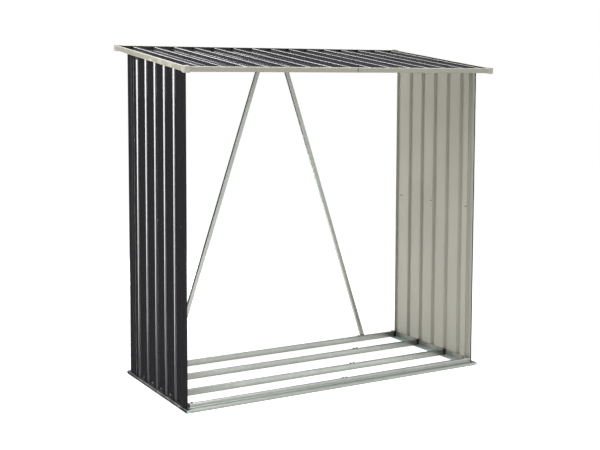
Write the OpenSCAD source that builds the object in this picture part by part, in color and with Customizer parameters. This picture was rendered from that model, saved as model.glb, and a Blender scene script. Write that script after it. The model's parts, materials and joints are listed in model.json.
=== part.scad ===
// Open-fronted log store in folded sheet steel: two box-profile side walls, a mono-pitch
// box-profile roof with folded trim, a galvanised base frame and a braced open back.
// Millimetres. +Z is up, the open front faces -Y, and the origin is on the ground under the
// middle of the roof.

/* [Overall] */
// Width of the store over its two side walls
store_w = 1560; // [1300:1:1900]
// Depth of the side walls, front edge to back edge
wall_d = 660; // [560:1:800]
// Height of the roof trim at the front
front_h = 1476; // [1300:1:1540]
// Height of the roof trim at the back, the highest point
back_h = 1582; // [1550:1:1700]
// Roof overhang past each side wall
side_overhang = 35; // [30:0.5:70]
// Roof overhang past the front and back edges of the walls
end_overhang = 86; // [50:1:120]

/* [Box-profile sheet] */
// Distance from rib to rib
rib_pitch = 106.8; // [90:0.1:130]
// Height of a rib above the flats
rib_h = 9; // [8:0.5:16]
// Width of a rib at its foot
rib_base = 32; // [28:1:40]
// Width of a rib at its crown
rib_crown = 20; // [14:1:22]
// Thickness of the sheet
sheet_t = 1; // [0.6:0.1:1.2]
// Inside radius of the bends in the sheet
bend_r = 3; // [2:0.5:4]
// Flat lip that laps over the neighbouring sheet
lap_lip = 14; // [8:1:20]
// Place of the first roof rib, from the left edge of the roof
first_rib = 100; // [80:1:110]
// Place of a wall's middle rib, from the middle of the wall: forwards on the right, back on the left
wall_rib_shift = 17; // [0:1:22]

/* [Edge posts] */
// Width of the outer leg of a post
post_leg = 38; // [30:1:50]
// Width of the post's foot on the wall sheet
post_foot = 16; // [12:1:22]
// Height of a post's outer leg above the back face of the wall sheet
post_rise = 8; // [6:0.5:12]

/* [Base frame] */
// Thickness of the galvanised sections
rail_t = 1.2; // [1:0.1:2]
// Outside radius of the folds in the galvanised sections
fold_r = 3; // [2.2:0.1:4]
// Height of the lip that the walls stand on
lip_h = 13; // [8:0.5:16]
// Reach of the side lip past the wall
lip_reach = 8; // [5:1:20]
// Reach of the front lip past the walls
front_lip = 30; // [20:1:45]
// Reach of the side lips past the back of the walls
back_lip = 20; // [10:1:35]
// Height of the side rails' upright web
side_web = 30; // [26:1:40]
// Width of the side rails' inner flange on the ground
side_flange = 36; // [24:1:45]
// Height of the front rail
front_rail_h = 30; // [24:1:36]
// Width of the front rail's top flange
front_flange = 16; // [10:1:20]
// Width of a floor rail or the back rail
floor_rail_w = 16; // [12:1:24]
// Height of a floor rail or the back rail
floor_rail_h = 28; // [22:1:34]
// Place of the front floor rail, ahead of the middle
floor_rail_front = 124; // [80:1:160]
// Place of the back floor rail, behind the middle
floor_rail_back = 107; // [80:1:160]
// Length of the splice inside a joined rail or beam
splice_l = 120; // [80:5:140]
// Gap between a beam's splice and the flange over it
splice_gap = 0.5; // [0.2:0.1:2]
// Place of the joint in the front rail, from the middle
joint_x = 31; // [0:1:80]
// Step from each rail's joint to that of the rail behind it
joint_step = 168; // [100:1:180]

/* [Top frame] */
// Height of the front and back beams
beam_h = 16; // [14:1:30]
// Width of the beams' flanges
beam_flange = 18; // [12:1:25]
// Height of the sloping top rails along the walls
top_rail_h = 18; // [14:1:35]
// Width of the top rails' flange under the roof
top_rail_w = 25; // [18:1:35]

/* [Back braces] */
// Width of a brace's flat leg
brace_w = 20; // [16:1:26]
// Depth of a brace's leg that points back
brace_leg = 14; // [10:1:18]
// Distance of a brace's foot from the middle of the store
brace_foot_x = 563; // [450:1:600]
// Distance of a brace's head from the middle of the store
brace_head_x = 54; // [50:1:150]

/* [Roof trim] */
// Height of the trim's outer face
trim_face = 22; // [20:1:36]
// Width of the trim's flanges
trim_flange = 14; // [10:1:20]
// Thickness of the trim
trim_t = 1; // [0.8:0.1:1.5]
// Outside radius of the folds in the trim
trim_r = 2; // [1.6:0.1:3]
// Place of the joint in the fascias, from the middle
fascia_joint = 35; // [0:1:80]
// Length of a corner cap along each side
cap_l = 28; // [20:1:36]
// Wall thickness of a corner cap
cap_t = 3; // [1.5:0.1:4]
// Radius of a corner cap's upright edge
cap_r = 6; // [3:0.5:8]

/* [Hidden] */

// Colours
anthracite = [0.17, 0.17, 0.18];
cream = [0.80, 0.78, 0.71];
galvanised = [0.66, 0.69, 0.68];
cap_white = [0.88, 0.86, 0.81];

// Bends in the sheet
outer_bend = bend_r + sheet_t;
bend_steps = 3;

// Walls and roof in plan
wall_in = store_w / 2 - rib_h - sheet_t;
half_d = wall_d / 2;
roof_w = store_w + 2 * side_overhang;
roof_d = wall_d + 2 * end_overhang;

// Roof plane: its flats bear on the frame at w = 0 in the tilted roof frame
slope = atan((back_h - front_h) / roof_d);
trim_top = rib_h + 2 * sheet_t + trim_r;
trim_drop = trim_face - trim_top;
cap_top = trim_top + cap_t;
cap_bottom = -trim_drop - cap_t;
roof_half = (roof_d - (cap_top - cap_bottom) * sin(slope)) / (2 * cos(slope));
roof_y = (cap_top + cap_bottom) / 2 * sin(slope);
roof_z = back_h - roof_half * sin(slope) - cap_top * cos(slope);
function bearing_z(y) = roof_z + (y - roof_y) * tan(slope);

// Inside faces of the trim, where the roof sheets end
edge_u = roof_w / 2 - cap_t;
edge_v = roof_half - cap_t;
sheet_u = edge_u - trim_t;
sheet_v = edge_v - trim_t;

// Ribs of a wall stand either side of the lapped middle rib
flank = (rib_base - rib_crown) / 2;
wall_end = half_d - post_leg - flank;
wall_side_ribs = floor((wall_end - post_foot - rib_base / 2 - wall_rib_shift) / rib_pitch);

// Ribs of the roof run from the left edge, and the last sheets are of equal width
roof_rib_margin = rib_base / 2 + cap_t + trim_t;
roof_ribs = floor((roof_w - first_rib - roof_rib_margin) / rib_pitch) + 1;
ribs_per_sheet = max(1, floor((roof_ribs - 1) / 3.5));
function rib_u(k) = -roof_w / 2 + first_rib + k * rib_pitch;
function lap_rib(k) = roof_ribs - 1 - ribs_per_sheet * (4 - k);

// Base frame in plan
rail_end = wall_in - rail_t;
beam_end = wall_in + post_rise - outer_bend;
web_y = half_d - sheet_t;
lip_x = store_w / 2 + lip_reach;
front_y = half_d + front_lip;
back_y = half_d + back_lip;
back_rail_y = web_y - floor_rail_w / 2;
function rail_joint(k) = joint_x + k * joint_step;

// A folded section: an open path thickened by t to the left of its direction
function unit(v) = v / norm(v);
function left_of(a, b) = let (d = unit(b - a)) [-d[1], d[0]];
function shifted(p, i, t) =
    let (last = len(p) - 1)
    i == 0 ? p[0] + t * left_of(p[0], p[1])
    : i == last ? p[last] + t * left_of(p[last - 1], p[last])
    : let (a = left_of(p[i - 1], p[i]), b = left_of(p[i], p[i + 1]))
      p[i] + t * (a + b) / (1 + a * b);
function shift_path(p, t) = [for (i = [0:len(p) - 1]) shifted(p, i, t)];
function folded(p, t) =
    let (far = shift_path(p, t))
    concat(p, [for (i = [len(p) - 1:-1:0]) far[i]]);
function part_of(p, from, to) = [for (i = [from:to]) p[i]];

// The same path with each inner corner rounded to an arc on the corner's inside
function corner_arc(a, b, c, r) =
    let (u = unit(a - b), v = unit(c - b),
         half = acos(max(-1, min(1, u * v))) / 2,
         middle = b + unit(u + v) * r / sin(half),
         from = b + u * r / tan(half),
         to = b + v * r / tan(half),
         start = atan2(from[1] - middle[1], from[0] - middle[0]),
         turn = atan2(to[1] - middle[1], to[0] - middle[0]) - start,
         sweep = turn > 180 ? turn - 360 : turn < -180 ? turn + 360 : turn)
    [for (k = [0:bend_steps])
        middle + r * [cos(start + sweep * k / bend_steps), sin(start + sweep * k / bend_steps)]];
function rounded(p, r) =
    [for (i = [0:len(p) - 1])
        each i == 0 || i == len(p) - 1 ? [p[i]] : corner_arc(p[i - 1], p[i], p[i + 1], r)];

// Rib outlines in the sheet's own plane: distance along the sheet, height above its back face
function inner_points(p) = part_of(p, 1, len(p) - 2);
function full_rib(c) = inner_points(rounded([
    [c - rib_base, 0], [c - rib_base / 2, 0], [c - rib_crown / 2, rib_h],
    [c + rib_crown / 2, rib_h], [c + rib_base / 2, 0], [c + rib_base, 0]], outer_bend));
// The lower sheet of a lap stops on the crown of its last rib
function under_lap(c) = rounded([
    [c - rib_base / 2 - lap_lip, 0], [c - rib_base / 2, 0],
    [c - rib_crown / 2, rib_h], [c + rib_crown / 4, rib_h]], outer_bend);
// The upper sheet starts on the lower one's flat, nests over its rib and comes down beyond it
function over_lap(c) =
    let (nested = shift_path(under_lap(c), sheet_t))
    concat(part_of(nested, 0, len(nested) - 2),
           inner_points(rounded([
               [c, rib_h + sheet_t], [c + rib_crown / 2, rib_h + sheet_t],
               [c + rib_base / 2, 0], [c + rib_base, 0]], outer_bend)));
function under_end(c) = part_of(under_lap(c), 1, len(under_lap(c)) - 1);

// Moves its children into the tilted roof frame: u across, v up the slope, w off the roof
module on_roof() {
    translate([0, roof_y, roof_z]) rotate([slope, 0, 0]) children();
}

// Everything above the plane that lies w over the roof's bearing plane
module above_roof(w) {
    on_roof() translate([-roof_w, -roof_d, w]) cube([2 * roof_w, 2 * roof_d, back_h]);
}

// An outline in the Y-Z plane drawn out along X
module along_x(outline, from, to) {
    translate([from, 0, 0]) rotate([90, 0, 90]) linear_extrude(to - from) polygon(outline);
}

// An outline in the X-Z plane drawn out along Y
module along_y(outline, from, to) {
    translate([0, to, 0]) rotate([90, 0, 0]) linear_extrude(to - from) polygon(outline);
}

// Galvanised sections follow the path of their outside face, with rounded folds
function section(path, t) = folded(rounded(path, fold_r), t);
// A splice nests inside such a section, so its folds are tighter by the section's thickness
nest_r = fold_r - rail_t;
function nested(path, t) = folded(rounded(path, nest_r), t);

// Side rail: lip with a turned-down edge, folded web and ground flange, on the right-hand side
side_lip_path = [[lip_x, 0], [lip_x, lip_h], [rail_end, lip_h]];
module side_rail() {
    color(galvanised) {
        along_y(section(side_lip_path, rail_t), -front_y, back_y);
        for (y = [-front_y, back_y - rail_t])
            along_y(concat(rounded(side_lip_path, fold_r), [[rail_end, 0]]), y, y + rail_t);
        translate([rail_end, -web_y, 0]) cube([rail_t, 2 * web_y, side_web]);
        translate([rail_end - side_flange, rail_t - web_y, 0])
            cube([side_flange + rail_t, 2 * web_y - rail_t, rail_t]);
    }
}

// Front rail: turned-down lip, web and a top flange, between two places along X
module front_rail(from, to) {
    color(galvanised)
        along_x(section([
            [-front_y, 0], [-front_y, lip_h], [-web_y, lip_h], [-web_y, front_rail_h],
            [front_flange - web_y, front_rail_h]], -rail_t), from, to);
}

// Floor rail or back rail: a channel with its back upwards, standing on the side rails' flanges
module floor_rail(y, from, to) {
    w = floor_rail_w / 2;
    top = rail_t + floor_rail_h;
    color(galvanised)
        along_x(section([[y - w, rail_t], [y - w, top], [y + w, top], [y + w, rail_t]], -rail_t), from, to);
}

// Splice of a floor rail or the back rail: a short channel nested inside it
module floor_splice(y, x) {
    w = floor_rail_w / 2 - rail_t;
    top = floor_rail_h;
    along_x(nested([[y - w, rail_t], [y - w, top], [y + w, top], [y + w, rail_t]], -rail_t),
            x - splice_l / 2, x + splice_l / 2);
}

// Splice of the front rail: a short angle behind the web, under the top flange
module front_splice(x) {
    y = rail_t - web_y;
    top = front_rail_h - rail_t;
    along_x(nested([[y, lip_h], [y, top], [front_flange - web_y, top]], -rail_t),
            x - splice_l / 2, x + splice_l / 2);
}

module rail_splices() {
    color(galvanised) {
        front_splice(rail_joint(0));
        floor_splice(-floor_rail_front, rail_joint(1));
        floor_splice(floor_rail_back, rail_joint(2));
        floor_splice(back_rail_y, rail_joint(3));
    }
}

// Wall sheet: on the right (side 1) a path along -Y raised outwards, on the left (side -1) the same
// turned half round, cut off under the roof
module wall_sheet(side, path) {
    color(anthracite)
        difference() {
            translate([0, 0, lip_h])
                linear_extrude(back_h)
                    polygon([for (p = folded(path, sheet_t)) side * [wall_in + p[1], -p[0]]]);
            above_roof(0);
        }
}

wall_ribs = [for (k = [1:1:wall_side_ribs]) k * rib_pitch];
function reversed(list) = [for (i = [len(list) - 1:-1:0]) list[i]];
under_sheet_path = concat(
    [[-wall_end, 0]], [for (c = reversed(wall_ribs)) each full_rib(wall_rib_shift - c)],
    under_end(wall_rib_shift));
over_sheet_path = concat(
    over_lap(wall_rib_shift), [for (c = wall_ribs) each full_rib(wall_rib_shift + c)], [[wall_end, 0]]);

// Post on the right-hand side: an edge trim that stands on the sheet's flat like half a low rib
// and turns in at the end of the wall; side is -1 at the front and 1 at the back
post_path = rounded([
    [wall_end - post_foot, sheet_t], [wall_end, sheet_t],
    [half_d - post_leg, post_rise], [web_y, post_rise], [web_y, 0]], outer_bend);
module post(side) {
    color(anthracite)
        difference() {
            translate([0, 0, lip_h])
                linear_extrude(back_h)
                    polygon([for (p = folded(post_path, sheet_t)) [wall_in + p[1], side * p[0]]]);
            above_roof(0);
        }
}

// Sloping top rail along the right-hand wall, between the front and back beams
module top_rail() {
    reach = web_y - beam_flange;
    color(galvanised)
        intersection() {
            on_roof()
                along_y(section([
                    [wall_in, -top_rail_h], [wall_in, 0], [wall_in - top_rail_w, 0]], rail_t),
                    -roof_half, roof_half);
            translate([0, -reach, 0]) cube([store_w, 2 * reach, 2 * back_h]);
        }
}

// Beam outline at the front (side -1) or back (side 1), its top flange following the roof
function beam_outline(side) =
    let (outer = side * web_y, inner = side * (web_y - beam_flange), foot = bearing_z(outer) - beam_h)
    section([[inner, foot], [outer, foot], [outer, bearing_z(outer)], [inner, bearing_z(inner)]],
            side * rail_t);

module beam(side, from, to) {
    color(galvanised) along_x(beam_outline(side), from, to);
}

// Splice of a beam: a plate inside its web that stops short of the folds and the top flange's slope
module beam_splice(side) {
    near = side * (web_y - rail_t);
    far = side * (web_y - 2 * rail_t);
    foot = bearing_z(side * web_y) - beam_h + fold_r;
    top = min(bearing_z(near), bearing_z(far)) - fold_r / cos(slope) - splice_gap;
    translate([-splice_l / 2, min(near, far), foot]) cube([splice_l, rail_t, top - foot]);
}

module beam_splices() {
    color(galvanised)
        for (side = [-1, 1]) beam_splice(side);
}

// Brace: an angle against the back of the rail and beam, its second leg on the left edge and
// pointing back; side is -1 for the left brace and 1 for the right one
module brace(side) {
    foot = [side * brace_foot_x, rail_t + floor_rail_h / 2];
    head = [side * brace_head_x, bearing_z(web_y) - brace_w / 2];
    run = head - foot;
    color(galvanised)
        translate([foot[0], web_y, foot[1]]) rotate([0, atan2(run[0], run[1]), 0])
            linear_extrude(norm(run))
                polygon(section([
                    [brace_w / 2, 0], [-brace_w / 2, 0], [-brace_w / 2, brace_leg]], -rail_t));
}

// Roof sheet: a path across the roof drawn out up the slope
module roof_sheet(path) {
    color(anthracite) on_roof() along_y(folded(path, sheet_t), -sheet_v, sheet_v);
}

function plain_ribs(from, to) = [for (k = [from + 1:1:to - 1]) each full_rib(rib_u(k))];
roof_path_left = concat(
    [[-sheet_u, 0]], plain_ribs(-1, lap_rib(1)), under_end(rib_u(lap_rib(1))));
function roof_path_centre(k) = concat(
    over_lap(rib_u(lap_rib(k))), plain_ribs(lap_rib(k), lap_rib(k + 1)),
    under_end(rib_u(lap_rib(k + 1))));
roof_path_right = concat(
    over_lap(rib_u(lap_rib(3))), plain_ribs(lap_rib(3), roof_ribs), [[sheet_u, 0]]);

// Trim section: a channel that closes round the edge of the roof, its face at d = 0
function trim_outline(edge) = [for (p = folded(rounded([
    [trim_flange, -trim_drop], [0, -trim_drop], [0, trim_top], [trim_flange, trim_top]], trim_r), -trim_t))
    [p[0] - edge, p[1]]];

// Fascia along the front edge of the roof, between two places across it
module fascia(from, to) {
    color(cream) along_x(trim_outline(edge_v), from, to);
}

// Verge along the left edge of the roof, between the two fascias
module verge() {
    reach = edge_v - trim_flange;
    color(cream) along_y(trim_outline(edge_u), -reach, reach);
}

// Corner cap at the front left of the roof: a moulded shell that slips over the ends of the trim
module cap() {
    rise = cap_top - cap_bottom;
    color(cap_white)
        translate([-roof_w / 2, -roof_half, cap_bottom])
            difference() {
                linear_extrude(rise)
                    polygon(concat(rounded([[0, cap_l], [0, 0], [cap_l, 0]], cap_r), [[cap_l, cap_l]]));
                translate([cap_t, cap_t, cap_t]) cube([cap_l, cap_l, rise - 2 * cap_t]);
            }
}

// Mirrors its children to the left-hand side of the store, or to the back of it
module to_left() {
    mirror([1, 0, 0]) children();
}
module to_back() {
    mirror([0, 1, 0]) children();
}

to_left() side_rail();  // side_rail_left
side_rail();  // side_rail_right
front_rail(-rail_end, rail_joint(0));  // front_rail_left
front_rail(rail_joint(0), rail_end);  // front_rail_right
floor_rail(-floor_rail_front, -rail_end, rail_joint(1));  // floor_rail_front_left
floor_rail(-floor_rail_front, rail_joint(1), rail_end);  // floor_rail_front_right
floor_rail(floor_rail_back, -rail_end, rail_joint(2));  // floor_rail_back_left
floor_rail(floor_rail_back, rail_joint(2), rail_end);  // floor_rail_back_right
floor_rail(back_rail_y, -rail_end, rail_joint(3));  // back_rail_left
floor_rail(back_rail_y, rail_joint(3), rail_end);  // back_rail_right
rail_splices();
wall_sheet(-1, under_sheet_path);  // left_wall_front_sheet
wall_sheet(-1, over_sheet_path);  // left_wall_back_sheet
wall_sheet(1, over_sheet_path);  // right_wall_front_sheet
wall_sheet(1, under_sheet_path);  // right_wall_back_sheet
to_left() post(-1);  // front_left_post
post(-1);  // front_right_post
to_left() post(1);  // back_left_post
post(1);  // back_right_post
to_left() top_rail();  // left_top_rail
top_rail();  // right_top_rail
beam(-1, -beam_end, 0);  // front_beam_left
beam(-1, 0, beam_end);  // front_beam_right
beam(1, -beam_end, 0);  // back_beam_left
beam(1, 0, beam_end);  // back_beam_right
beam_splices();
brace(-1);  // left_brace
brace(1);  // right_brace
roof_sheet(roof_path_left);  // roof_sheet_left
roof_sheet(roof_path_centre(1));  // roof_sheet_centre_left
roof_sheet(roof_path_centre(2));  // roof_sheet_centre_right
roof_sheet(roof_path_right);  // roof_sheet_right
on_roof() fascia(-edge_u, fascia_joint);  // front_fascia_left
on_roof() fascia(fascia_joint, edge_u);  // front_fascia_right
on_roof() to_back() fascia(-edge_u, fascia_joint);  // back_fascia_left
on_roof() to_back() fascia(fascia_joint, edge_u);  // back_fascia_right
on_roof() verge();  // left_verge
on_roof() to_left() verge();  // right_verge
on_roof() cap();  // front_left_cap
on_roof() to_left() cap();  // front_right_cap
on_roof() to_back() cap();  // back_left_cap
on_roof() to_back() to_left() cap();  // back_right_cap
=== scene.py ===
# %% [markdown]
# A log store in folded sheet steel, dressed and lit.
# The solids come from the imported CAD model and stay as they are. This lesson adds the camera, a plain
# studio, the painted and galvanised finishes, and the small fasteners that hold the sheets.

# %% Load the frame
import json
import math

import bmesh
import bpy
from mathutils import Matrix, Vector


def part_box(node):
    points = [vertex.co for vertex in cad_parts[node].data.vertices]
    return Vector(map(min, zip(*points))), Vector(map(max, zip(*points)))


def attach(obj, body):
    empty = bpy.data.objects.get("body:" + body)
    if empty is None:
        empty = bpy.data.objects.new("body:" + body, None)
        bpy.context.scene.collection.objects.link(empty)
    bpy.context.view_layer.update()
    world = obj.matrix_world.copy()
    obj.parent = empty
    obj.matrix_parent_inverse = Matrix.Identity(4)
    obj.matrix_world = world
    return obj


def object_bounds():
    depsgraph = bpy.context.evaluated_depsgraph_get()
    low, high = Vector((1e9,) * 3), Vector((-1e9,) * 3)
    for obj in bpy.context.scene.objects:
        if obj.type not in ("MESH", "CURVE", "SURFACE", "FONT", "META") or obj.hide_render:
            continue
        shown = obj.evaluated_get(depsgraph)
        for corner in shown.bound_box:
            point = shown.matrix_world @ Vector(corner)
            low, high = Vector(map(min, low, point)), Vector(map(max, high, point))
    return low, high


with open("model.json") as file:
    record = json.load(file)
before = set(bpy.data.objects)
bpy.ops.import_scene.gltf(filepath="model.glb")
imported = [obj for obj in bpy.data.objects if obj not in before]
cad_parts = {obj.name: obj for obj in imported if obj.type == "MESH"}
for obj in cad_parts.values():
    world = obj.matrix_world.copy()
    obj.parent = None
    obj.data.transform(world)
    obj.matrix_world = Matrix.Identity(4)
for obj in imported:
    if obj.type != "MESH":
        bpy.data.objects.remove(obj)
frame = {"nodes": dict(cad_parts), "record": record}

cad_low, cad_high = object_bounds()
nodes = frame["nodes"]
print("nodes:", len(nodes), "box:", [round(v, 3) for v in cad_high - cad_low])

# %% [markdown]
# The camera stands to the left of the open front, a little below the height of the roof, and looks
# slightly down. A small lens shift takes the rest of the framing, so that upright edges stay nearly
# upright. The viewing direction is built from three perpendicular axes, which leaves no doubt about roll.

# %% Camera
IMAGE_W = 600
IMAGE_H = 450
SENSOR = 36.0
focal_px = 1059.6
axis_row = 165.0
camera_place = Vector((-2.572, -4.420, 1.443))
yaw, pitch, roll = 0.5222, 0.0852, 0.0033

level_right = Vector((math.cos(yaw), -math.sin(yaw), 0))
ahead = Vector((math.sin(yaw) * math.cos(pitch), math.cos(yaw) * math.cos(pitch), -math.sin(pitch)))
level_up = level_right.cross(ahead)
right = level_right * math.cos(roll) + level_up * math.sin(roll)
up = level_up * math.cos(roll) - level_right * math.sin(roll)

camera = bpy.data.objects.new("camera", bpy.data.cameras.new("camera"))
bpy.context.scene.collection.objects.link(camera)
turn = Matrix((right, up, -ahead)).transposed().to_4x4()
camera.matrix_world = Matrix.Translation(camera_place) @ turn
camera.data.sensor_width = SENSOR
camera.data.lens = focal_px * SENSOR / IMAGE_W
camera.data.shift_y = (axis_row - IMAGE_H / 2) / IMAGE_W
bpy.context.scene.camera = camera
print("lens", round(camera.data.lens, 1), "mm")

# %% [markdown]
# The studio and every finish are node trees. A few helpers keep them readable: one adds a shader node
# with its settings, one mixes two colours, one stretches a range of numbers, and one gives noise.

# %% Shader helpers
def new_material(name):
    material = bpy.data.materials.new(name)
    material.use_nodes = True
    material.node_tree.nodes.clear()
    return material, material.node_tree


def shade(tree, kind, sockets=None, **settings):
    """Adds a shader node with its settings and the starting values of its sockets."""
    made = tree.nodes.new("ShaderNode" + kind)
    for key, value in settings.items():
        setattr(made, key, value)
    for key, value in (sockets or {}).items():
        made.inputs[key].default_value = value
    return made


def compute(tree, operation, first, second):
    """Arithmetic on two numbers, each a socket or a plain value."""
    made = shade(tree, "Math", operation=operation)
    for socket, value in zip(made.inputs, (first, second)):
        if isinstance(value, (int, float)):
            socket.default_value = value
        else:
            tree.links.new(value, socket)
    return made.outputs[0]


def blend(tree, factor, first, second):
    """A colour between two others, each a socket or three plain numbers."""
    made = shade(tree, "Mix", data_type="RGBA")
    tree.links.new(factor, made.inputs[0])
    for socket, value in ((made.inputs[6], first), (made.inputs[7], second)):
        if isinstance(value, tuple):
            socket.default_value = (*value, 1)
        else:
            tree.links.new(value, socket)
    return made.outputs[2]


def stretch(tree, value, low, high, to_low, to_high):
    """Takes low to to_low and high to to_high, and holds both ends."""
    made = shade(tree, "MapRange", {1: low, 2: high, 3: to_low, 4: to_high})
    tree.links.new(value, made.inputs[0])
    return made.outputs[0]


def noise(tree, where, scale, detail):
    made = shade(tree, "TexNoise", {"Scale": scale, "Detail": detail})
    tree.links.new(where, made.inputs["Vector"])
    return made.outputs[0]


def seen_directly(tree):
    """One for a ray from the camera, off a shiny surface or through glass, nought for scattered light."""
    path = shade(tree, "LightPath").outputs
    shiny = compute(tree, "MAXIMUM", path["Is Glossy Ray"], path["Is Transmission Ray"])
    return compute(tree, "MAXIMUM", path["Is Camera Ray"], shiny)


# %% [markdown]
# The studio is a pale floor under a white surround. Where the camera or a reflection looks past the
# store it meets plain white, while the light that falls on the store comes from the world at a lower
# level and from soft lamps. A Light Path node tells the two kinds of ray apart.

# %% White surround
bpy.context.scene.view_settings.view_transform = "Standard"
WHITE = (1, 1, 1, 1)
sky_light = 0.28
world = bpy.data.worlds.new("surround")
bpy.context.scene.world = world
world.use_nodes = True
sky = world.node_tree
sky.nodes.clear()
sky_out = shade(sky, "OutputWorld")
sky_mix = shade(sky, "MixShader")
sky_soft = shade(sky, "Background", {"Color": WHITE, "Strength": sky_light})
sky_white = shade(sky, "Background", {"Color": WHITE, "Strength": 1.0})
sky.links.new(seen_directly(sky), sky_mix.inputs[0])
sky.links.new(sky_soft.outputs[0], sky_mix.inputs[1])
sky.links.new(sky_white.outputs[0], sky_mix.inputs[2])
sky.links.new(sky_mix.outputs[0], sky_out.inputs[0])
print("surround lights the store at", sky_light)

# %% [markdown]
# The floor is a large matt sheet just under the rails. It takes the shadow of the store, and a glow that
# only direct looks and reflections see lifts it to white without lighting the store any more.

# %% Pale floor
floor_half = 30.0
floor_glow = 0.79
floor_mesh = bpy.data.meshes.new("floor")
bm = bmesh.new()
bmesh.ops.create_grid(bm, x_segments=1, y_segments=1, size=floor_half)
bm.to_mesh(floor_mesh)
bm.free()
floor = bpy.data.objects.new("floor", floor_mesh)
bpy.context.scene.collection.objects.link(floor)
floor.location.z = cad_low.z - 0.0005
floor_paint, tree = new_material("pale floor")
floor_out = shade(tree, "OutputMaterial")
floor_sum = shade(tree, "AddShader")
floor_matt = shade(tree, "BsdfDiffuse", {"Color": (0.8, 0.8, 0.8, 1)})
floor_light = shade(tree, "Emission", {"Color": WHITE})
tree.links.new(compute(tree, "MULTIPLY", seen_directly(tree), floor_glow), floor_light.inputs["Strength"])
tree.links.new(floor_matt.outputs[0], floor_sum.inputs[0])
tree.links.new(floor_light.outputs[0], floor_sum.inputs[1])
tree.links.new(floor_sum.outputs[0], floor_out.inputs[0])
floor.data.materials.append(floor_paint)
print("floor at", round(floor.location.z, 4))

# %% [markdown]
# Soft lamps shape the store. A key lamp on the left lights the verge, one over the front lights the
# fascia and rails, and one behind reaches the inside of the right-hand wall through the open back.

# %% Soft lamps
def softbox(name, place, aim, width, height, radiance, scatters=True, reflects=True, spread=180, roll=0):
    """An area lamp that the camera does not see, with its spread and its roll in degrees."""
    data = bpy.data.lights.new(name, "AREA")
    data.shape = "RECTANGLE"
    data.size = width
    data.size_y = height
    data.energy = radiance * math.pi * width * height
    data.spread = math.radians(spread)
    lamp = bpy.data.objects.new(name, data)
    bpy.context.scene.collection.objects.link(lamp)
    aimed = (Vector(aim) - Vector(place)).to_track_quat("-Z", "Y").to_matrix().to_4x4()
    lamp.matrix_world = Matrix.Translation(place) @ aimed @ Matrix.Rotation(math.radians(roll), 4, "Z")
    lamp.visible_camera = False
    lamp.visible_diffuse = scatters
    lamp.visible_glossy = reflects
    print("lamp", name, round(data.energy), "W")


softbox("key on the left", (-3.6, -0.4, 2.2), (-0.3, 0, 0.9), 2.0, 2.0, 4.0)
softbox("over the front", (0.3, -1.4, 4.4), (0, -0.3, 0.7), 2.5, 1.5, 7.0)
softbox("behind the bay", (-0.45, 3.1, 0.9), (0.77, 0, 0.85), 1.2, 1.2, 22.0, reflects=False)

# %% [markdown]
# The bright lines along the ribs are reflections. Glossy paint mirrors a lamp only where a fold is turned
# the right way, so each rib of the left-hand wall has a strip lamp close in front of it, as tall as the
# wall. One slanted panel far behind the store does the same for the roof. It is long and narrow, because
# a wider one would show a second time where the flats mirror the next rib. All of them show in
# reflections alone.

# %% Lamps for the ribs
wall_ribs = 5
rib_pitch = 0.1068
first_strip_y = -0.2646
strip_w = 0.05
strip_h = 1.51
for rib in range(wall_ribs):
    strip_y = rib_pitch * rib + first_strip_y
    strip_at = (-0.818, strip_y, strip_h / 2)
    strip_to = (0.072, strip_y + 0.45, strip_h / 2)
    softbox("wall rib strip", strip_at, strip_to, strip_w, strip_h, 10.0, scatters=False, spread=110)
softbox("roof rib panel", (1.6, 6.5, 6.1), (0, 0, 1.5), 4.2, 1.4, 9.0, scatters=False, roll=-29)

# %% [markdown]
# Glossy dark paint mirrors whatever stands opposite it, so a studio hangs black flags where the paint
# should stay dark. These only show in reflections: three lie around the left-hand wall, one hangs high
# behind the roof, and one stands low behind it with a sloping top, to leave the slanted panel in sight.

# %% Black flags
def flag(name, corners, level):
    """A dark sheet through four corners, seen in reflections alone, and how bright it is there."""
    cloth, tree = new_material(name)
    glow = shade(tree, "Emission", {"Color": (0.92, 0.9, 1.0, 1), "Strength": level})
    tree.links.new(glow.outputs[0], shade(tree, "OutputMaterial").inputs[0])
    mesh = bpy.data.meshes.new(name)
    bm = bmesh.new()
    bm.faces.new([bm.verts.new(corner) for corner in corners])
    bm.to_mesh(mesh)
    bm.free()
    sheet = bpy.data.objects.new(name, mesh)
    bpy.context.scene.collection.objects.link(sheet)
    sheet.data.materials.append(cloth)
    sheet.visible_camera = False
    sheet.visible_diffuse = False
    sheet.visible_transmission = False
    sheet.visible_shadow = False
    print(name, "shows at", level)


near_x, far_x = -0.79, -4.5
behind_y = 3.5
flag_h = 3.0
over_floor = 0.001
flag_black = 0.08
flag("floor_flag", [(far_x, -0.6, over_floor), (near_x, -0.6, over_floor),
                    (near_x, behind_y, over_floor), (far_x, behind_y, over_floor)], flag_black)
flag("left_flag", [(far_x, behind_y, 0.0), (near_x, behind_y, 0.0),
                   (near_x, behind_y, flag_h), (far_x, behind_y, flag_h)], flag_black)
flag("side_flag", [(far_x, -1.5, 0.0), (far_x, behind_y, 0.0),
                   (far_x, behind_y, flag_h), (far_x, -1.5, flag_h)], flag_black)
flag("sky_flag", [(-8.0, 9.0, 4.0), (2.0, 9.0, 4.0), (2.0, 9.0, 12.0), (-8.0, 9.0, 12.0)], 0.4)
flag("roof_flag", [(-1.5, 4.5, 1.0), (8.0, 4.5, 1.0), (8.0, 4.5, 4.3), (-1.5, 4.5, 3.1)], 0.22)

# %% [markdown]
# The sheets are coil-coated steel: a thin even paint with a faint orange peel, on metal that is never
# quite flat. Noise at two scales makes both, as bump, and a slow cloud shifts the colour a little. Dust
# settles on what faces up, and paint thins along folds and edges. The Bevel node finds those edges: it
# rounds the normal near them, so where the rounded and the true normal differ the paint is worn. A rough
# coating with less gloss stands for the grime that gathers in the folds.

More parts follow.
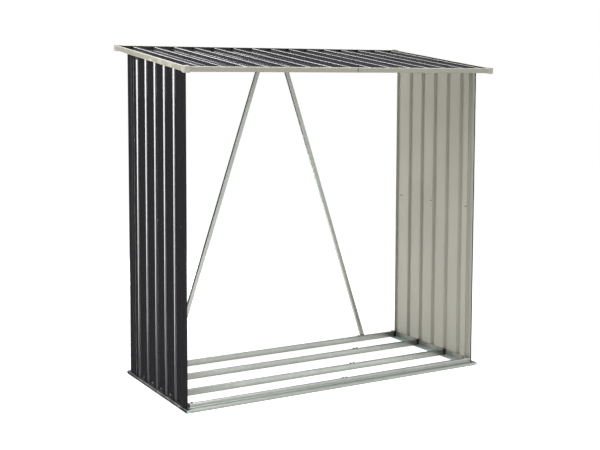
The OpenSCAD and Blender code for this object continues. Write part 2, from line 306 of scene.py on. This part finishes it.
# %% Coil coating
BARE_STEEL = (0.42, 0.43, 0.42)
DUST = (0.30, 0.28, 0.30)


def folded_edges(tree, radius):
    """The normal rounded over the folds, and nought on a flat rising to one on an edge."""
    rounded = shade(tree, "Bevel", {"Radius": radius}, samples=6)
    true = shade(tree, "NewGeometry")
    agree = shade(tree, "VectorMath", operation="DOT_PRODUCT")
    tree.links.new(rounded.outputs[0], agree.inputs[0])
    tree.links.new(true.outputs["True Normal"], agree.inputs[1])
    return rounded.outputs[0], stretch(tree, agree.outputs["Value"], 0.995, 0.80, 0.0, 1.0)


def bumped(tree, normal, height, strength, distance):
    made = shade(tree, "Bump", {"Strength": strength, "Distance": distance})
    tree.links.new(height, made.inputs["Height"])
    tree.links.new(normal, made.inputs["Normal"])
    return made.outputs[0]


def coil_coating(name, colour, roughness, dust, gloss=0.5):
    """Paint on sheet steel. Dust is how far faces that look up go to a pale rough grey."""
    material, tree = new_material(name)
    paint = shade(tree, "BsdfPrincipled", {"Specular IOR Level": gloss})
    where = shade(tree, "TexCoord").outputs["Object"]
    cloud = noise(tree, where, 2.5, 4.0)
    speck = noise(tree, where, 160.0, 3.0)
    normal, edge = folded_edges(tree, 0.001)

    facing = shade(tree, "SeparateXYZ")
    tree.links.new(shade(tree, "NewGeometry").outputs["Normal"], facing.inputs[0])
    upward = stretch(tree, facing.outputs["Z"], 0.80, 0.99, 0.0, dust)
    settled = compute(tree, "MULTIPLY", upward, stretch(tree, cloud, 0.3, 0.7, 0.6, 1.4))
    worn = compute(tree, "MULTIPLY", edge, stretch(tree, speck, 0.56, 0.72, 0.0, 0.6))

    tint = blend(tree, cloud, tuple(c * 0.88 for c in colour), tuple(c * 1.12 for c in colour))
    tint = blend(tree, settled, tint, DUST)
    tint = blend(tree, worn, tint, BARE_STEEL)
    tree.links.new(tint, paint.inputs["Base Color"])

    clean = stretch(tree, cloud, 0.3, 0.7, roughness * 0.8, roughness * 1.3)
    tree.links.new(compute(tree, "ADD", clean, settled), paint.inputs["Roughness"])
    normal = bumped(tree, normal, noise(tree, where, 7.0, 1.0), 0.06, 0.001)
    normal = bumped(tree, normal, noise(tree, where, 900.0, 1.0), 0.1, 0.00002)
    tree.links.new(normal, paint.inputs["Normal"])
    tree.links.new(paint.outputs[0], shade(tree, "OutputMaterial").inputs[0])
    return material


ANTHRACITE = (0.0225, 0.0213, 0.0233)
anthracite = coil_coating("anthracite coating", ANTHRACITE, 0.03, 0.01)
grimed = coil_coating("grimed coating", ANTHRACITE, 0.75, 0.03, gloss=0.3)
cream = coil_coating("cream coating", (0.62, 0.60, 0.50), 0.40, 0.0)
backing = coil_coating("cream backing coat", (0.495, 0.485, 0.418), 0.40, 0.0)
# The trim's inner faces are given a dark olive.
olive_inner_face = coil_coating("olive inner face", (0.22, 0.21, 0.175), 0.45, 0.0)
print("coatings:", anthracite.name, cream.name, olive_inner_face.name)

# %% [markdown]
# The frame is galvanised. Molten zinc freezes in crystals a centimetre or so across, each turned its own
# way, so each catches the light a little differently. Voronoi cells give every crystal its own shade and
# roughness, and fine noise dulls the whole where the zinc has begun to weather. The rails are also painted
# darker towards the walls and along the ground: this is painted shade, standing for the shade of the walls
# and for the shade where the rails meet the floor.

# %% Galvanised steel
def zinc_coating(name, colour, roughness, crystal, metallic=1.0, painted_shade=0.0):
    """Zinc with crystals of a given size. painted_shade is how far the zinc is painted darker near the walls
    and along the ground, as painted shade.
    """
    material, tree = new_material(name)
    metal = shade(tree, "BsdfPrincipled", {"Metallic": metallic})
    where = shade(tree, "TexCoord").outputs["Object"]
    crystals = shade(tree, "TexVoronoi", {"Scale": 1 / crystal})
    tree.links.new(where, crystals.inputs["Vector"])
    split = shade(tree, "SeparateColor")
    tree.links.new(crystals.outputs["Color"], split.inputs[0])
    weather = noise(tree, where, 14.0, 5.0)
    normal, edge = folded_edges(tree, 0.0015)

    tint = blend(tree, split.outputs[0], tuple(c * 0.94 for c in colour), tuple(c * 1.05 for c in colour))
    dull = stretch(tree, weather, 0.45, 0.75, 0.0, 0.2)
    tint = blend(tree, dull, tint, tuple(c * 0.8 for c in colour))
    rubbed = compute(tree, "MULTIPLY", edge, 0.35)
    tint = blend(tree, rubbed, tint, tuple(min(1.0, c * 1.4) for c in colour))

    # Painted shade: the zinc is painted darker under the walls and along the ground, where their shade
    # falls.
    place = shade(tree, "SeparateXYZ")
    tree.links.new(where, place.inputs[0])
    toward_wall_shade = stretch(tree, compute(tree, "ABSOLUTE", place.outputs["X"], 0.0), 0.40, 0.76, 0.0, painted_shade)
    low_down = stretch(tree, place.outputs["Z"], 0.05, 0.20, 1.0, 0.0)
    behind_front = stretch(tree, place.outputs["Y"], -0.31, -0.28, 0.0, 1.0)
    shade_under_wall = compute(tree, "MULTIPLY", compute(tree, "MULTIPLY", toward_wall_shade, low_down), behind_front)
    ground_shade = stretch(tree, place.outputs["Z"], 0.003, 0.016, painted_shade * 0.8, 0.0)
    painted_shade_mask = compute(tree, "MAXIMUM", shade_under_wall, ground_shade)
    tint = blend(tree, painted_shade_mask, tint, tuple(c * 0.2 for c in colour))
    tree.links.new(tint, metal.inputs["Base Color"])

    grain = stretch(tree, split.outputs[1], 0.0, 1.0, roughness - 0.03, roughness + 0.03)
    rough = compute(tree, "ADD", grain, compute(tree, "MULTIPLY", dull, 0.3))
    tree.links.new(rough, metal.inputs["Roughness"])
    normal = bumped(tree, normal, weather, 0.05, 0.001)
    tree.links.new(normal, metal.inputs["Normal"])
    tree.links.new(metal.outputs[0], shade(tree, "OutputMaterial").inputs[0])
    return material


dipped_crystal = 0.012
sheet_crystal = 0.004
plated_crystal = 0.003
# The frame's zinc carries painted shade near the walls and along the ground.
galvanised = zinc_coating("galvanised steel", (0.45, 0.475, 0.445), 0.34, dipped_crystal, painted_shade=0.6)
# The side rails' three finishes are painted light: zinc with a painted pale blue reflection, a web in
# painted shade, and a lip in darker painted shade.
zinc_painted_reflection = zinc_coating("side rail zinc with painted blue reflection", (0.55, 0.64, 0.65), 0.45, dipped_crystal, metallic=0.4)
web_painted_shade = zinc_coating("web in painted shade", (0.34, 0.35, 0.31), 0.5, dipped_crystal, metallic=0.2)
lip_painted_shade = zinc_coating("lip in painted shade", (0.06, 0.06, 0.055), 0.5, dipped_crystal, metallic=0.5)
bare_edge = zinc_coating("bare cut edge", (0.40, 0.40, 0.39), 0.45, sheet_crystal)
zinc_plate = zinc_coating("zinc plated screw", (0.50, 0.49, 0.46), 0.36, plated_crystal)
dark_bolt = zinc_coating("dark plated bolt", (0.15, 0.16, 0.16), 0.40, plated_crystal)
print("metals:", galvanised.name, bare_edge.name, zinc_plate.name)

# %% [markdown]
# The corner caps are moulded plastic with a fine matt grain, the plugs in the rail ends are a black one
# whose black also paints the shade inside the open rail ends, and the sealing washers under the screws are
# rubber. Each is one colour in life, so the interest is all in the grain and a little handling dirt.

# %% Plastic and rubber
def moulding(name, colour, roughness):
    material, tree = new_material(name)
    plastic = shade(tree, "BsdfPrincipled", {"Specular IOR Level": 0.45})
    where = shade(tree, "TexCoord").outputs["Object"]
    dirt = noise(tree, where, 30.0, 4.0)
    normal, edge = folded_edges(tree, 0.0012)
    tint = blend(tree, dirt, tuple(c * 0.94 for c in colour), tuple(min(1.0, c * 1.05) for c in colour))
    tint = blend(tree, compute(tree, "MULTIPLY", edge, 0.2), tint, tuple(c * 0.85 for c in colour))
    tree.links.new(tint, plastic.inputs["Base Color"])
    rough = stretch(tree, dirt, 0.3, 0.7, roughness - 0.06, roughness + 0.08)
    tree.links.new(rough, plastic.inputs["Roughness"])
    normal = bumped(tree, normal, noise(tree, where, 1400.0, 1.0), 0.25, 0.0002)
    tree.links.new(normal, plastic.inputs["Normal"])
    tree.links.new(plastic.outputs[0], shade(tree, "OutputMaterial").inputs[0])
    return material


cap_white = moulding("cap plastic", (0.74, 0.72, 0.65), 0.48)
rubber = moulding("sealing rubber", (0.03, 0.03, 0.03), 0.7)
plug_black_and_shade = moulding("black plug plastic and painted shade", (0.012, 0.014, 0.015), 0.45)
print("mouldings:", cap_white.name, rubber.name)

# %% [markdown]
# Coil-coated sheet has a colour on each side: here anthracite outside and cream inside, and the cream
# trim is dark olive on its inner faces. A sheet is one solid, so each face gets its side from the way it
# looks. The sawn edges of a sheet show bare steel. Grime takes the gloss off the feet of the ribs, on the
# roof off their whole sides, and off the folds of the posts. A side rail carries painted light: zinc with a
# pale blue painted reflection on the flange that lies on the ground, painted shade on the web inside, and
# darker painted shade on its lip and outside.

# %% Paint the solids
slot_of = {row["node"]: row["material_slot"] for row in frame["record"]["subparts"]}
finishes = {
    "galvanised": [galvanised, zinc_painted_reflection, web_painted_shade, lip_painted_shade],
    "cap": [cap_white],
    "trim": [cream, olive_inner_face],
    "sheet": [anthracite, backing, bare_edge, grimed],
}
roof_grime_h = 0.0065
wall_grime_h = 0.005


def towards_inside(name):
    """The direction in which the back of this sheet or trim looks."""
    side = Vector((1, 0, 0)) if "left" in name else Vector((-1, 0, 0))
    end = Vector((0, 1, 0)) if "front" in name else Vector((0, -1, 0))
    if name.startswith("roof"):
        return Vector((0, 0, -1))
    if "post" in name:
        return side + end * 0.3
    return end if "fascia" in name else side


def is_cut_edge(name, normal):
    if "post" in name or "wall" in name:
        return abs(normal.z) > 0.9
    return name.startswith("roof") and (abs(normal.y) > 0.9 or abs(normal.x) > 0.99)


def outside_of(name, mesh):
    """The way the outside of a sheet looks, and how far out its innermost point lies."""
    flat = max(mesh.polygons, key=lambda face: face.area).normal
    outward = -flat if flat.dot(towards_inside(name)) > 0 else flat.copy()
    return outward, min(v.co.dot(outward) for v in mesh.vertices)


def finish_index(name, face, outward, base):
    """Which of its slot's finishes a face of this node takes."""
    inside = face.normal.dot(towards_inside(name))
    # A side rail is painted by facing: painted shade on the inner web, on the lip top and outside, and a
    # painted blue reflection on the rest.
    if "side_rail" in name:
        on_lip = face.normal.z > 0.9 and face.center.z > 0.005
        return 2 if inside > 0.9 else 3 if inside < -0.9 or on_lip else 1
    if is_cut_edge(name, face.normal):
        return 2
    if slot_of[name] in ("sheet", "trim") and inside > 0.2:
        return 1
    if slot_of[name] != "sheet":
        return 0
    sloping = face.normal.dot(outward) < 0.99
    grime_h = roof_grime_h if name.startswith("roof") else wall_grime_h
    in_groove = face.center.dot(outward) - base < grime_h
    return 3 if sloping and (in_groove or "post" in name) else 0


counts = {}
for name, obj in nodes.items():
    outward, base = outside_of(name, obj.data)
    obj.data.materials.clear()
    for material in finishes[slot_of[name]]:
        obj.data.materials.append(material)
    for face in obj.data.polygons:
        face.material_index = finish_index(name, face, outward, base)
        used = finishes[slot_of[name]][face.material_index].name
        counts[used] = counts.get(used, 0) + 1
print("faces:", counts)

# %% [markdown]
# Screws and bolts are too small for the solids, yet they tell how the store goes together. The places come
# from the sheets themselves: the flats between ribs, the lap of two sheets and the feet of the posts.

# %% Fastener patterns
def head_pattern(name, sides, across, height, washer, washer_h):
    """A screw or bolt head on its washer, standing on the origin and looking up."""
    bm = bmesh.new()
    lift = Matrix.Translation((0, 0, washer_h / 2))
    bmesh.ops.create_cone(bm, cap_ends=True, segments=14, radius1=washer / 2, radius2=washer * 0.44,
                          depth=washer_h, matrix=lift)
    for face in bm.faces:
        face.material_index = 1
    lift = Matrix.Translation((0, 0, washer_h + height / 2))
    head = bmesh.ops.create_cone(bm, cap_ends=True, segments=sides, radius1=across / 2, radius2=across / 2,
                                 depth=height, matrix=lift)
    top = [v for v in head["verts"] if v.co.z > washer_h + height / 2]
    rim = [e for e in bm.edges if e.verts[0] in top and e.verts[1] in top]
    bmesh.ops.bevel(bm, geom=rim, offset=height * 0.28, offset_type="OFFSET", segments=2, profile=0.5,
                    affect="EDGES", material=-1)
    mesh = bpy.data.meshes.new(name)
    bm.to_mesh(mesh)
    bm.free()
    return mesh


def tip_pattern(name, length, across):
    """The point of a screw, standing on the origin and looking up."""
    bm = bmesh.new()
    shank = length * 0.6
    bmesh.ops.create_cone(bm, cap_ends=True, segments=8, radius1=across / 2, radius2=across / 2, depth=shank,
                          matrix=Matrix.Translation((0, 0, shank / 2)))
    top = [f for f in bm.faces if f.normal.z > 0.9]
    point = bmesh.ops.extrude_discrete_faces(bm, faces=top)["faces"][0]
    bmesh.ops.translate(bm, vec=(0, 0, length - shank), verts=point.verts)
    bmesh.ops.scale(bm, vec=(0.2, 0.2, 1), verts=point.verts)
    mesh = bpy.data.meshes.new(name)
    bm.to_mesh(mesh)
    bm.free()
    return mesh


def bead_pattern(name, width, length, height):
    """A bead of sealant with a rounded back, lying on the origin along Y and looking up."""
    bm = bmesh.new()
    size = Matrix.Diagonal((width, length, height, 1))
    bmesh.ops.create_cube(bm, size=1.0, matrix=Matrix.Translation((0, 0, height / 2)) @ size)
    back = [e for e in bm.edges if min(v.co.z for v in e.verts) > height * 0.9]
    bmesh.ops.bevel(bm, geom=back, offset=height * 0.6, offset_type="OFFSET", segments=2, profile=0.5,
                    affect="EDGES", material=-1)
    mesh = bpy.data.meshes.new(name)
    bm.to_mesh(mesh)
    bm.free()
    return mesh


wall_screw = head_pattern("wall_screw", 6, 0.0095, 0.0035, 0.014, 0.0015)
roof_screw = head_pattern("roof_screw", 12, 0.009, 0.0018, 0.013, 0.0010)
frame_bolt = head_pattern("frame_bolt", 6, 0.011, 0.0040, 0.015, 0.0012)
blind_rivet = head_pattern("blind_rivet", 12, 0.0042, 0.0008, 0.007, 0.0011)
screw_tip = tip_pattern("screw_tip", 0.010, 0.0048)
seam_bead = bead_pattern("seam_bead", 0.0028, 0.020, 0.0007)
print("faces in a wall screw:", len(wall_screw.polygons))


def fasten(name, pattern, places, head, washer):
    """One piece with the pattern at each place, turned to look along its direction."""
    bm = bmesh.new()
    for place, outward in places:
        before = len(bm.verts)
        bm.from_mesh(pattern)
        bm.verts.ensure_lookup_table()
        turn = Vector(outward).to_track_quat("Z", "Y").to_matrix().to_4x4()
        bmesh.ops.transform(bm, matrix=Matrix.Translation(place) @ turn, verts=bm.verts[before:])
    mesh = bpy.data.meshes.new(name)
    bm.to_mesh(mesh)
    bm.free()
    piece = bpy.data.objects.new(name, mesh)
    bpy.context.scene.collection.objects.link(piece)
    piece.data.materials.append(head)
    piece.data.materials.append(washer)
    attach(piece, "root")
    print(name, len(places), "places,", len(mesh.polygons), "faces")


# %% [markdown]
# The walls are screwed at the foot into the side rails, at the head into the top rails, and half way up
# through the lap and the feet of the posts. Inside, only the screw points show. The left-hand wall is the
# same pair of sheets turned half round, so its places are those of the right-hand wall turned too.

# %% Wall screws
sheet_t = 0.001
lap_rib_y = -0.017
lap_lip = 0.023
lap_lip_y = lap_rib_y + lap_lip
post_foot_y = 0.278
foot_row_z = 0.022
middle_row_z = 0.790
head_row_drop = 0.010

wall_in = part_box("right_wall_back_sheet")[0].x
front_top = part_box("front_right_post")
back_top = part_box("back_right_post")
rise = (back_top[1].z - front_top[1].z) / (back_top[1].y - front_top[1].y)


def roof_line(y):
    """Height at which the roof sheets rest."""
    return back_top[1].z + (y - back_top[1].y) * rise


wall_places = []
tip_places = []
for side in (1, -1):
    rows = [(side * (lap_rib_y + (k + 0.5) * rib_pitch), 1, (0, 2)) for k in (-2, -1, 0, 1)]
    rows += [(side * lap_lip_y, 2, (1,)), (post_foot_y, 2, (0, 1, 2)), (-post_foot_y, 2, (0, 1, 2))]
    for y, layers, heights in rows:
        row_z = (foot_row_z, middle_row_z, roof_line(y) - head_row_drop)
        for height in heights:
            place = Vector((side * (wall_in + layers * sheet_t), y, row_z[height]))
            wall_places.append((place, (side, 0, 0)))
            tip_places.append((Vector((side * wall_in, y, row_z[height])), (-side, 0, 0)))
fasten("wall_screws", wall_screw, wall_places, anthracite, rubber)
fasten("wall_screw_points", screw_tip, tip_places, dark_bolt, dark_bolt)

# %% [markdown]
# The roof is fixed through its flats into the two beams, with low heads so that it sheds water. A fascia
# is two lengths that meet at a bead of sealant with a rivet on each side. The roof is tilted, so all of
# them are placed in its own frame: along the store, up the slope and off the sheet.

# %% Roof screws, trim rivets and seams
slope = math.atan(rise)
first_rib_x = -0.715
rib_count = 15
beam_line_y = 0.320
trim_mid = 0.002
roof_mid_y = 0.00025
up_slope = Vector((0, math.cos(slope), math.sin(slope)))
off_roof = Vector((0, -math.sin(slope), math.cos(slope)))
fascia_joint_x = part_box("front_fascia_left")[1].x
fascia_v = 0.4146


def on_roof(x, v, off):
    """A point at x along the store, v up the slope from the middle and off the bearing plane."""
    middle = Vector((x, roof_mid_y, roof_line(roof_mid_y)))
    return middle + up_slope * v + off_roof * off


roof_places = []
for k in range(0, rib_count - 1, 2):
    x = first_rib_x + (k + 0.5) * rib_pitch
    for v in (-beam_line_y, beam_line_y):
        roof_places.append((on_roof(x, v, sheet_t), off_roof))
fasten("roof_screws", roof_screw, roof_places, anthracite, rubber)

rivet_step = 0.012
rivet_places = []
for end in (-1, 1):
    for step in (-rivet_step, rivet_step):
        rivet_places.append((on_roof(fascia_joint_x + step, end * fascia_v, trim_mid), up_slope * end))
fasten("fascia_rivets", blind_rivet, rivet_places, cream, cream)
seam_places = [(on_roof(fascia_joint_x, end * fascia_v, trim_mid), up_slope * end) for end in (-1, 1)]
fasten("fascia_seams", seam_bead, seam_places, rubber, rubber)

# %% [markdown]
# The base frame is bolted: a pair of bolts across each joint of a rail, and one through each rail end.

# %% Rail bolts
bolt_step = 0.009
bolt_from_back = 0.008
rail_end_x = 0.748
bolt_places = []
rails = ("front_rail", "floor_rail_front", "floor_rail_back", "back_rail")
for rail in rails:
    low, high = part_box(rail + "_left")
    line_y = high.y - bolt_from_back
    joint_x = high.x
    for x in (joint_x - bolt_step, joint_x + bolt_step, rail_end_x, -rail_end_x):
        bolt_places.append((Vector((x, line_y, high.z)), (0, 0, 1)))
fasten("rail_bolts", frame_bolt, bolt_places, dark_bolt, zinc_plate)

# %% [markdown]
# Black plugs close the ends of the floor and back rails where they meet the side rails, and a smaller one
# closes the left end of the front rail. A plug is a short block with rounded edges and a shallow panel in
# each long side, so it starts as a cube that is inset and bevelled.

# %% Rail end plugs
plug_l = 0.015
plug_wall = 0.0012
small_plug_l = 0.009
small_plug_d = 0.0172
small_plug_foot = 0.0135


def plug(bm, low, high):
    """A rounded block between two corners, with a sunk panel on each long side."""
    place = Matrix.Translation((low + high) / 2) @ Matrix.Diagonal((*(high - low), 1))
    block = bmesh.ops.create_cube(bm, size=1.0, matrix=place)
    faces = list({f for v in block["verts"] for f in v.link_faces})
    panels = [f for f in faces if abs(f.normal.y) > 0.9]
    bmesh.ops.inset_individual(bm, faces=panels, thickness=0.003, depth=-0.0008)
    edges = [e for e in bm.edges if e.calc_length() > 0.012 and e.verts[0] in block["verts"]]
    bmesh.ops.bevel(bm, geom=edges, offset=0.0006, offset_type="OFFSET", segments=2, profile=0.5,
                    affect="EDGES", material=-1)


bm = bmesh.new()
for rail in ("floor_rail_front", "floor_rail_back", "back_rail"):
    for side in ("left", "right"):
        low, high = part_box(rail + "_" + side)
        start_x = low.x if side == "left" else high.x - plug_l
        plug_low = Vector((start_x, low.y - plug_wall, low.z))
        plug_high = Vector((start_x + plug_l, high.y + plug_wall, high.z + plug_wall))
        plug(bm, plug_low, plug_high)
low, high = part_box("front_rail_left")
plug_low = Vector((low.x, high.y - small_plug_d, small_plug_foot))
plug_high = Vector((low.x + small_plug_l, high.y, high.z + plug_wall))
plug(bm, plug_low, plug_high)
plug_mesh = bpy.data.meshes.new("rail_end_plugs")
bm.to_mesh(plug_mesh)
bm.free()
plugs = bpy.data.objects.new("rail_end_plugs", plug_mesh)
bpy.context.scene.collection.objects.link(plugs)
# The plugs' black also paints the shade inside the open rail ends.
plugs.data.materials.append(plug_black_and_shade)
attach(plugs, "root")
print("plugs:", len(plug_mesh.polygons), "faces")

# %% [markdown]
# Each brace is a leaning angle, held by one bolt at the foot and one at the head. The bolts sit on its
# flat leg, so their places follow the lean from one end of its box to the other.

# %% Brace bolts
brace_places = []
brace_t = 0.0012
brace_face_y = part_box("left_brace")[0].y + brace_t
brace_half = 0.010
bolt_inset = 0.012
for side, name in ((-1, "left_brace"), (1, "right_brace")):
    low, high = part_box(name)
    foot_x = max(abs(low.x), abs(high.x)) - brace_half
    head_x = min(abs(low.x), abs(high.x)) + brace_half
    lean = (head_x - foot_x) / (high.z - low.z)
    for z in (low.z + bolt_inset, high.z - bolt_inset):
        place = Vector((side * (foot_x + lean * (z - low.z)), brace_face_y, z))
        brace_places.append((place, (0, 1, 0)))
fasten("brace_bolts", frame_bolt, brace_places, zinc_plate, zinc_plate)
